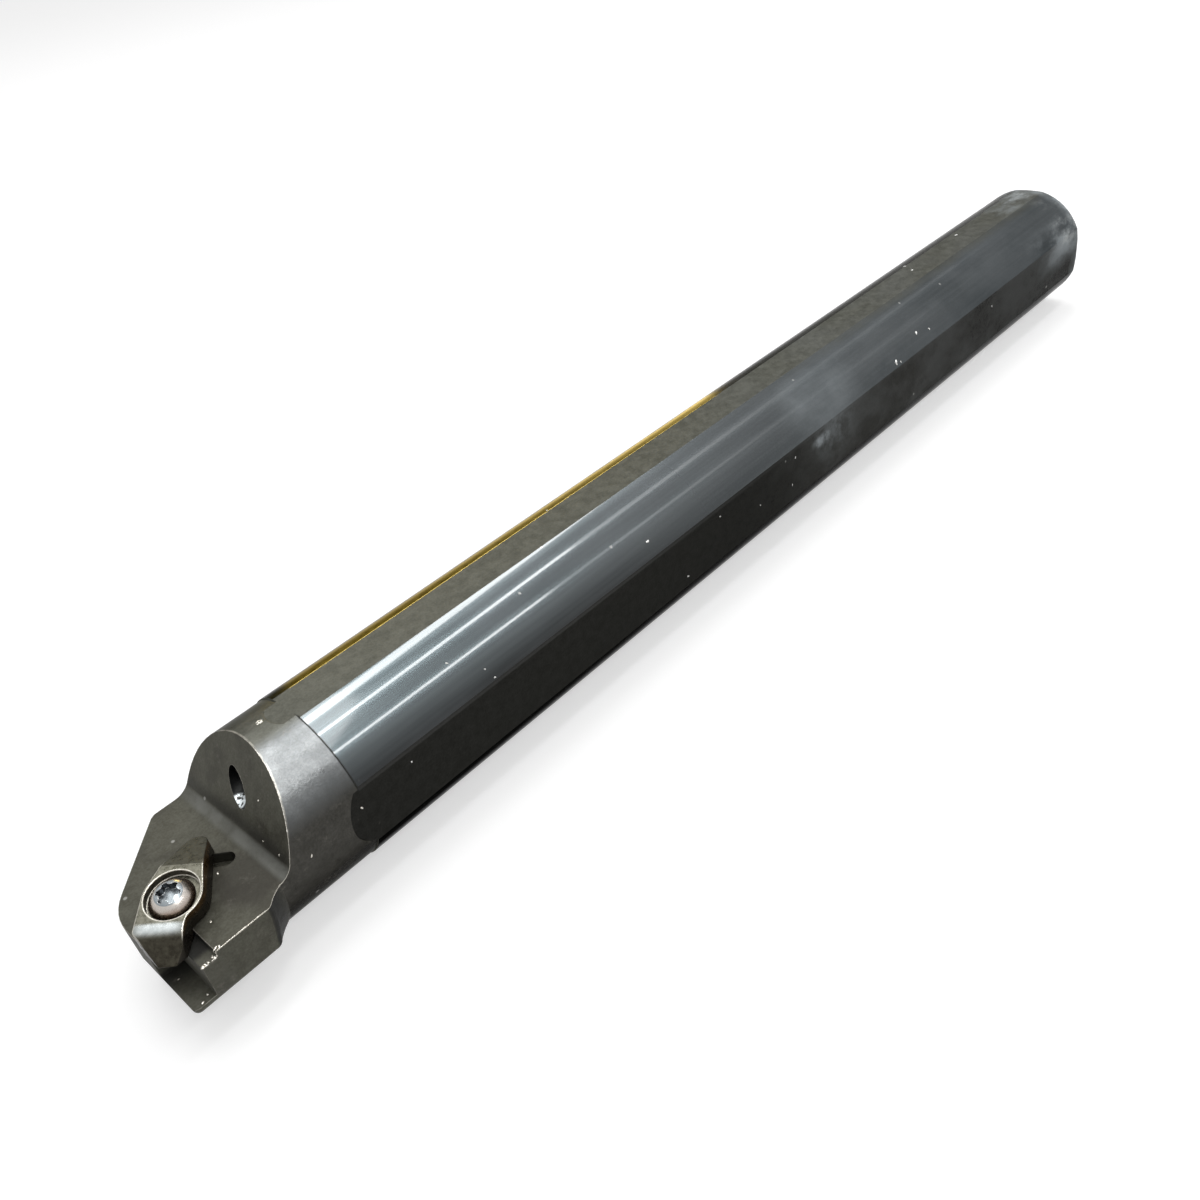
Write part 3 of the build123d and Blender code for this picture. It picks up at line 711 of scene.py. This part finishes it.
# ---------------------------------------------------------------------------
# Swarf and grit: torn flakes and pale grains that the oil film holds on the
# shank and the head, most of them a few tenths of a millimetre across.
# ---------------------------------------------------------------------------
TOP_FLAT = 0.01848
SIDE_FLAT = 0.0176
UP = (0.0, 0.0, 1.0)
CUTTING_SIDE = (0.0, -1.0, 0.0)
UP_THE_SHOULDER = (-np.cos(SHOULDER_LEAN), 0.0, np.sin(SHOULDER_LEAN))


def grit_finish():
    """Pale, dull grit with a few steel grains among it."""
    f = Finish("pale_grit")
    tone = f.cloud(0.0030, detail=2.0)
    f.give(f.steel.inputs["Base Color"], f.tint(tone, (0.62, 0.61, 0.58, 1.0), (0.88, 0.88, 0.87, 1.0)))
    f.give(f.steel.inputs["Roughness"], f.level(tone, 0.35, 0.70))
    f.give(f.steel.inputs["Metallic"], f.level(f.rise(tone, 0.45, 0.60), 0.0, 0.8))
    f.give(f.steel.inputs["Normal"], f.relief(f.cloud(0.0002, detail=3.0), 0.00004))
    return f.material


LUMP_FLATNESS = 0.40


def lumps(name, centres, normals, sizes, seed, material):
    """Flattened lumps, all in one mesh: a ball's grid of latitude and longitude, its radius waved
    twice and three times round, and pressed flat along the normal of the face it lies on."""
    chance = np.random.default_rng(seed)
    count = len(sizes)
    centres = np.asarray(centres)
    sizes = np.asarray(sizes)
    normals = np.asarray(normals, dtype=float)
    latitude = np.linspace(-np.pi / 2, np.pi / 2, 7)[None, 1:-1, None]
    longitude = np.linspace(0.0, 2 * np.pi, 9, endpoint=False)[None, None, :]
    helper = np.where(np.abs(normals[:, :1]) > 0.8, [[0.0, 1.0, 0.0]], [[1.0, 0.0, 0.0]])
    across = np.cross(normals, helper)
    across /= np.linalg.norm(across, axis=1, keepdims=True)
    along = np.cross(across, normals)
    spin = chance.random(count) * 2 * np.pi
    first = np.cos(spin)[:, None] * along + np.sin(spin)[:, None] * across
    second = np.cross(normals, first)
    lobes = chance.random((count, 2)) * 2 * np.pi
    wave = 1.0 + 0.30 * np.sin(2 * longitude + lobes[:, 0, None, None])
    wave = wave + 0.25 * np.sin(3 * longitude + 2 * latitude + lobes[:, 1, None, None])
    flat = np.cos(latitude) * wave
    stretch = 0.8 + 0.7 * chance.random((count, 1, 1))
    size = sizes[:, None, None]
    length = (size * stretch * flat * np.cos(longitude))[..., None] * first[:, None, None, :]
    breadth = (size * flat * np.sin(longitude))[..., None] * second[:, None, None, :]
    lift = size * LUMP_FLATNESS * np.sin(latitude) * np.ones_like(longitude)
    height = lift[..., None] * normals[:, None, None, :]
    balls = (centres[:, None, None, :] + length + breadth + height).reshape(count, -1, 3)
    pole = LUMP_FLATNESS * sizes[:, None] * normals
    poles = np.stack([centres - pole, centres + pole], axis=1)
    points = np.concatenate([balls, poles], axis=1)

    # faces of one lump, whose two poles follow its rings, and then of each in turn
    here, ahead, quads = numbered_rings(latitude.size, longitude.size)
    low = np.full(longitude.size, here.size)
    bottom = np.stack([ahead[0], here[0], low], axis=-1)
    top = np.stack([here[-1], ahead[-1], low + 1], axis=-1)
    faces = []
    for number in range(count):
        for block in (quads, bottom, top):
            faces += (block + number * points.shape[1]).tolist()
    piece = smooth_object(name, points, faces, material)
    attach(piece, "bar")


def on_shank(behind, degrees):
    """The shank's surface in a direction round it: whichever is nearest, the round skin or a flat."""
    angle = np.radians(degrees)
    reach = {"skin": SHANK_RADIUS}
    if np.sin(angle) > 0:
        reach["top"] = TOP_FLAT / np.sin(angle)
    if np.cos(angle) > 0:
        reach["side"] = SIDE_FLAT / np.cos(angle)
    nearest = min(reach, key=reach.get)
    outward = {"skin": (0.0, -np.cos(angle), np.sin(angle)), "top": UP, "side": CUTTING_SIDE}
    radius = reach[nearest]
    place = (behind / 1000 - BAR_LENGTH, -radius * np.cos(angle), radius * np.sin(angle))
    return place, outward[nearest]


def scatter(name, spots, sizes, seed, material):
    """Lumps at spots, each a place with the way its face looks. Sizes are half breadths in millimetres."""
    centres = [place for place, outward in spots]
    normals = [outward for place, outward in spots]
    lumps(name, centres, normals, [size / 1000 for size in sizes], seed, material)


# each grain: millimetres behind the head's front face, degrees up from the cutting side, size
SHANK_GRAINS = ((56, 12, 0.22), (73, 49, 0.26), (79, 32, 0.20), (80, 24, 0.22), (121, 106, 0.20),
                (131, 34, 0.34), (141, -15, 0.24), (155, 14, 0.26), (171, -4, 0.18), (187, 14, 0.26),
                (185, -9, 0.20), (238, 27, 0.50), (240, 25, 0.26), (252, 37, 0.46), (258, 33, 0.34),
                (278, 93, 0.30), (280, 104, 0.34), (294, 11, 0.22), (309, 99, 0.34))
spots = [on_shank(behind, degrees) for behind, degrees, size in SHANK_GRAINS]
scatter("shank_grit", spots, [size for behind, degrees, size in SHANK_GRAINS], 21, grit_finish())

# each grain: its place as head_point takes it, the way its face looks, size
HEAD_GRAINS = (((43.1, -17.6, 2.3), CUTTING_SIDE, 0.24), ((30.3, -18.72, 1.7), CUTTING_SIDE, 0.22),
               ((26.2, -15.0, 3.4), UP_THE_SHOULDER, 0.22), ((26.3, -9.6, 3.5), UP_THE_SHOULDER, 0.20),
               ((29.5, -6.9, 9.9), UP_THE_SHOULDER, 0.22), ((10.6, -15.1, 1.0), UP, 0.26),
               ((17.4, -6.2, 1.0), UP, 0.30), ((10.7, -21.57, -1.6), CUTTING_SIDE, 0.16),
               ((3.4, -20.1, -7.5), UP, 0.22), ((1.8, -12.8, -7.5), UP, 0.18),
               ((7.0, -20.6, -0.5), UP, 0.24), ((5.3, -20.9, -0.5), UP, 0.20),
               ((2.0, -20.9, -7.5), UP, 0.22), ((8.1, -20.9, 1.0), UP, 0.34),
               ((7.2, -21.0, -0.5), UP, 0.30), ((5.9, -21.0, -0.5), UP, 0.26),
               ((4.9, -21.0, -0.5), UP, 0.34), ((8.7, -21.1, 1.0), UP, 0.20))
spots = [(head_point(*place), outward) for place, outward, size in HEAD_GRAINS]
scatter("head_swarf", spots, [size for place, outward, size in HEAD_GRAINS], 22, torn)


# ---------------------------------------------------------------------------
# The coolant port's thread: a pipe thread tapped into the rear end of the bar,
# in the same steel, with oil-dark flanks. Its slight taper is left out.
# ---------------------------------------------------------------------------
PORT_RADIUS = 0.00735
THREAD_PITCH = 0.00141
THREAD_HEIGHT = 0.00060
THREAD_START = 0.0004
THREAD_LENGTH = 0.0155
THREAD_LEAD_IN = 0.0012
THREAD_RUN_OUT = 0.0020
ROOT_GAP = 0.00002
WALL_SUNK = 0.0003
THREAD_CREST = (0.26, 0.25, 0.23, 1.0)


def port_thread():
    """A wave of one pitch along the port that climbs once a turn and fades at both ends, closed by a
    plain wall sunk in the steel."""
    turn = np.linspace(0.0, 2 * np.pi, 72, endpoint=False)
    depth = np.linspace(THREAD_START, THREAD_LENGTH, 133)
    ends = np.minimum(depth / THREAD_LEAD_IN, (THREAD_LENGTH - depth) / THREAD_RUN_OUT)
    climb = (depth[:, None] / THREAD_PITCH + turn[None, :] / (2 * np.pi)) % 1.0
    ridge = 1.0 - np.abs(2.0 * climb - 1.0)
    height = THREAD_HEIGHT * np.clip(1.25 * ridge - 0.1, 0.0, 1.0) * np.clip(ends, 0.0, 1.0)[:, None]
    wall = np.full((2, len(turn)), PORT_RADIUS + WALL_SUNK)
    radius = np.concatenate([PORT_RADIUS - ROOT_GAP - height, wall], axis=0)
    inward = np.concatenate([depth, [THREAD_LENGTH, depth[0]]])
    x = np.broadcast_to(-inward[:, None], radius.shape)
    points = np.stack([x, -radius * np.cos(turn), radius * np.sin(turn)], axis=-1)
    grid_mesh("coolant_port_thread", points, "bar", thread_finish(), capped=False)


def thread_finish():
    """Cut steel, dark with oil in the roots and barer on the crests."""
    f = Finish("tapped_steel")
    tone = f.rise(f.cloud(0.0015, detail=5.0), 0.30, 0.70)
    radius = f.calc("SQRT", f.calc("ADD", f.times(f.y, f.y), f.times(f.z, f.z)))
    crest = f.rise(radius, PORT_RADIUS - 0.0002, PORT_RADIUS - 0.0005)
    flank = f.tint(tone, (0.030, 0.028, 0.025, 1.0), (0.060, 0.056, 0.050, 1.0))
    f.give(f.steel.inputs["Base Color"], f.tint(f.times(crest, 0.7), flank, THREAD_CREST))
    f.give(f.steel.inputs["Roughness"], f.level(tone, 0.25, 0.40))
    f.steel.inputs["Metallic"].default_value = 1.0
    f.give(f.steel.inputs["Normal"], f.relief(tone, 0.00003, strength=0.5))
    return f.material


port_thread()


# ---------------------------------------------------------------------------
# The studio: a plain pale floor that keeps the bar's soft shadow, pale
# surroundings, and flat lamps, three of which the ground steel mirrors as lines.
# ---------------------------------------------------------------------------
FLOOR_HEIGHT = -0.0188
FLOOR_HALF = 4.0
CEILING = 1.4


def pale_ground(tree, shader_socket, unseen, seen):
    """Sets a surface's own light: seen for the camera and mirrored rays, and unseen for all others."""
    path = tree.nodes.new("ShaderNodeLightPath")
    looking = tree.nodes.new("ShaderNodeMath")
    looking.operation = "MAXIMUM"
    tree.links.new(path.outputs["Is Camera Ray"], looking.inputs[0])
    tree.links.new(path.outputs["Is Glossy Ray"], looking.inputs[1])
    scaled = tree.nodes.new("ShaderNodeMath")
    scaled.operation = "MULTIPLY_ADD"
    tree.links.new(looking.outputs[0], scaled.inputs[0])
    scaled.inputs[1].default_value = seen - unseen
    scaled.inputs[2].default_value = unseen
    tree.links.new(scaled.outputs[0], shader_socket)


def studio_floor():
    """One square of pale floor under the bar."""
    corners = np.array([[-1, -1, 0], [1, -1, 0], [1, 1, 0], [-1, 1, 0]]) * FLOOR_HALF
    corners[:, 2] = FLOOR_HEIGHT
    mesh = bpy.data.meshes.new("studio_floor")
    mesh.from_pydata(corners.tolist(), [], [(0, 1, 2, 3)])
    floor = bpy.data.objects.new("studio_floor", mesh)
    bpy.context.scene.collection.objects.link(floor)
    material = bpy.data.materials.new("pale_floor")
    material.use_nodes = True
    tree = material.node_tree
    tree.nodes.clear()
    output = tree.nodes.new("ShaderNodeOutputMaterial")
    both = tree.nodes.new("ShaderNodeAddShader")
    matt = tree.nodes.new("ShaderNodeBsdfDiffuse")
    matt.inputs["Color"].default_value = (0.55, 0.55, 0.55, 1.0)
    own = tree.nodes.new("ShaderNodeEmission")
    pale_ground(tree, own.inputs["Strength"], unseen=0.0, seen=0.55)
    tree.links.new(matt.outputs[0], both.inputs[0])
    tree.links.new(own.outputs[0], both.inputs[1])
    tree.links.new(both.outputs[0], output.inputs["Surface"])
    mesh.materials.append(material)


studio_floor()

world = bpy.data.worlds.new("pale_room")
world.use_nodes = True
bpy.context.scene.world = world
background = world.node_tree.nodes["Background"]
background.inputs["Color"].default_value = (1.0, 1.0, 1.0, 1.0)
pale_ground(world.node_tree, background.inputs["Strength"], unseen=0.55, seen=1.0)


def turned_to(place, right, up, back):
    """Where a lamp or a camera stands and how it is turned. Both look away from back."""
    return Matrix.Translation(place) @ Matrix((right, up, back)).transposed().to_4x4()


def flat_lamp(name, near_end, far_end, width, radiance, colour=(1.0, 1.0, 1.0)):
    """A flat lamp between two points, turned to face the middle of the bar."""
    start, stop = Vector(near_end), Vector(far_end)
    middle = (start + stop) / 2
    lamp = bpy.data.lights.new(name, "AREA")
    lamp.shape = "RECTANGLE"
    lamp.size = (stop - start).length
    lamp.size_y = width
    lamp.energy = radiance * np.pi * lamp.size * lamp.size_y
    lamp.color = colour
    holder = bpy.data.objects.new(name, lamp)
    long_way = (stop - start).normalized()
    back = middle - Vector((-BAR_LENGTH / 2, 0.0, 0.0))
    back = (back - back.dot(long_way) * long_way).normalized()
    holder.matrix_world = turned_to(middle, long_way, back.cross(long_way), back)
    holder.visible_camera = False
    bpy.context.scene.collection.objects.link(holder)
    return holder


flat_lamp("front_strip", (-0.5, -1.144, CEILING), (0.80, -1.144, CEILING), 0.09, 12.0)
flat_lamp("middle_strip", (-0.5, -0.38, CEILING), (0.66, -0.162, CEILING), 0.09, 12.0)
flat_lamp("back_strip", (-0.5, 0.08, CEILING), (1.02, 0.540, CEILING), 0.13, 10.0)
flat_lamp("front_strip_end", (0.80, -1.144, CEILING), (2.4, -1.144, CEILING), 0.12, 1.6)
flat_lamp("middle_strip_end", (0.66, -0.162, CEILING), (2.0, 0.02, CEILING), 0.12, 2.4)
flat_lamp("back_panel", (-0.30, 1.05, CEILING), (0.40, 1.05, CEILING), 0.55, 2.2)

# lamps that only mirrored rays show: a wide panel over the head, and low amber louvres behind the bar
head_panel = flat_lamp("head_panel", (-0.10, -1.25, CEILING), (-0.10, 0.50, CEILING), 0.56, 4.2)
head_panel.visible_diffuse = False
LOUVRES = 6
LOUVRE_GAP = 0.033
LOUVRE_HEIGHT = 0.060
FIRST_LOUVRE = (-0.262, 0.10, 0.0078)
AMBER = (1.0, 0.70, 0.12)
for number, swing in enumerate(np.radians(np.linspace(19, 42, LOUVRES))):
    half_width = float(LOUVRE_GAP / 2 * np.cos(swing))
    half = Vector((np.cos(swing), -np.sin(swing), 0.0)) * half_width
    centre = Vector(FIRST_LOUVRE) + Vector((LOUVRE_GAP * number, 0.0, 0.0))
    louvre = flat_lamp(f"amber_louvre_{number}", centre - half, centre + half, LOUVRE_HEIGHT, 1.0, AMBER)
    louvre.data.spread = np.radians(60)
    louvre.visible_diffuse = False


# ---------------------------------------------------------------------------
# The camera: a hand's breadth to the cutting side of the head and above it,
# looking along the bar. Its ways right and down are given, and set its third.
# ---------------------------------------------------------------------------
LENS_LENGTH = 32.967
SENSOR_WIDTH = 36.0
CAMERA_PLACE = (-0.37364, -0.16609, 0.14750)
CAMERA_RIGHT = (0.6665, -0.7293, -0.1547)
CAMERA_DOWN = (-0.5179, -0.3037, -0.7997)

right = Vector(CAMERA_RIGHT).normalized()
up = -Vector(CAMERA_DOWN)
up = (up - up.dot(right) * right).normalized()
eye = bpy.data.cameras.new("camera")
eye.lens = LENS_LENGTH
eye.sensor_width = SENSOR_WIDTH
eye.sensor_fit = "HORIZONTAL"
eye.clip_start = 0.01
camera = bpy.data.objects.new("camera", eye)
camera.matrix_world = turned_to(Vector(CAMERA_PLACE), right, up, right.cross(up))
bpy.context.scene.collection.objects.link(camera)
bpy.context.scene.camera = camera
bpy.context.scene.view_settings.view_transform = "Standard"
